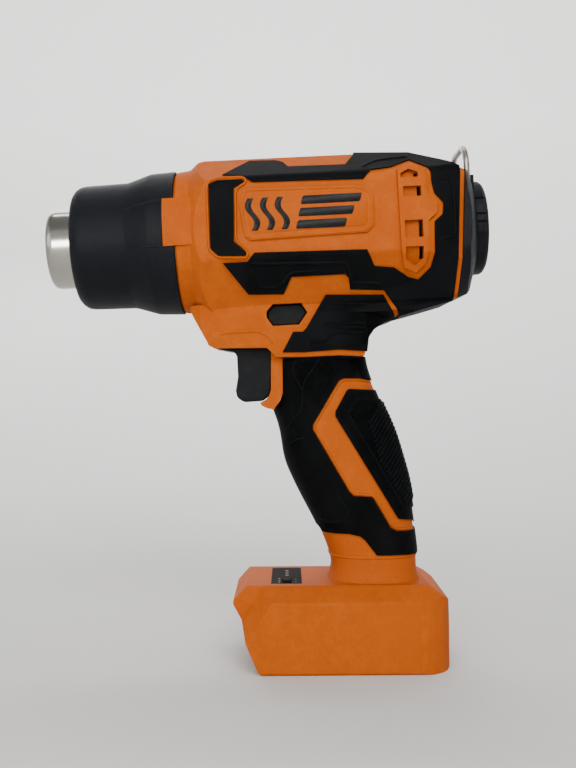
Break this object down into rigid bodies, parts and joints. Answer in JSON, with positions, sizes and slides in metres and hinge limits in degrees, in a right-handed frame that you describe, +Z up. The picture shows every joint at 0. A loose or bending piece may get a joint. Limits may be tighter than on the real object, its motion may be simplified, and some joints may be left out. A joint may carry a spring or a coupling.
{
  "type": "heat gun",
  "caption": "Cordless pistol-grip heat gun with round steel outlet, guard, soft-covered grip, hanging loop and a battery foot.",
  "frame": {"origin": "on the underside of the foot, midway along the tool's overall length and on its middle plane", "axes": "+Z up with the tool standing on its foot, -X the way the outlet points, +Y to the tool's right side seen from behind"},
  "size_m": [0.1882, 0.0692, 0.2203],
  "materials": {
    "orange_shell": "fine satin grain",
    "grip_rubber": "soft matte",
    "guard_black": "glass-filled matte",
    "control_black": "satin",
    "switch_black": "matte",
    "stainless": "satin brushed",
    "loop_steel": "drawn wire",
    "shaft_steel": "ground",
    "motor_steel": "plated",
    "bracket_steel": "stamped",
    "spring_steel": "wire",
    "screw_steel": "black zinc",
    "mica": "pale flaky sheet",
    "coil_wire": "oxidised",
    "fuse_can": "plain",
    "duct_black": "matte",
    "fan_grey": "matte",
    "panel_grey": "printed film",
    "board_green": "solder mask",
    "terminal_black": "glass-filled",
    "blade_brass": "plated",
    "wire_red": "silicone sleeve"
  },
  "bodies": {
    "body": {"housing_left": "orange_shell", "housing_right": "orange_shell", "body_grip_left": "grip_rubber", "body_grip_right": "grip_rubber", "side_bracket_left": "grip_rubber", "side_bracket_right": "grip_rubber", "neck_grip_left": "grip_rubber", "neck_grip_right": "grip_rubber", "handle_grip_left": "grip_rubber", "handle_grip_right": "grip_rubber", "grip_pad_left": "grip_rubber", "grip_pad_right": "grip_rubber", "front_shroud": "guard_black", "outlet_nozzle": "stainless", "mica_tube": "mica", "heater_core": "mica", "heating_coil": "coil_wire", "thermal_fuse": "fuse_can", "air_duct": "duct_black", "motor_body": "motor_steel", "motor_bracket": "bracket_steel", "rear_cap": "guard_black", "switch_body": "switch_black", "trigger_spring": "spring_steel", "control_panel": "panel_grey", "control_board": "board_green", "terminal_block": "terminal_black", "terminal_blades": "blade_brass", "wiring": "wire_red", "housing_screws": "screw_steel"},
    "trigger_body": {"trigger": "control_black", "switch_plunger": "switch_black"},
    "lock_body": {"lock_button": "control_black"},
    "mode_body": {"mode_button": "control_black"},
    "loop_body": {"hang_loop": "loop_steel"},
    "rotor": {"rotor_shaft": "shaft_steel", "fan_impeller": "fan_grey"}
  },
  "joints": [
    {"name": "trigger_pull", "type": "slide", "parent": "body", "child": "trigger_body", "axis": [1, 0, 0], "range_m": [0, 0.006], "stiffness_N_per_m": 800, "springref_m": -0.003, "deforming": ["trigger_spring"]},
    {"name": "lock_button_slide", "type": "slide", "parent": "body", "child": "lock_body", "axis": [0, -1, 0], "range_m": [0, 0.005]},
    {"name": "mode_button_press", "type": "slide", "parent": "body", "child": "mode_body", "axis": [0, 0, -1], "range_m": [0, 0.0008], "stiffness_N_per_m": 2500, "springref_m": -0.0004},
    {"name": "hang_loop_pivot", "type": "hinge", "parent": "body", "child": "loop_body", "pos_m": [0.08462, 0, 0.20336], "axis": [0, 1, 0], "range_deg": [0, 75]},
    {"name": "fan_spin", "type": "hinge", "parent": "body", "child": "rotor", "pos_m": [0.03496, 0, 0.18359], "axis": [-0.999, 0, -0.0454], "continuous": true}
  ]
}
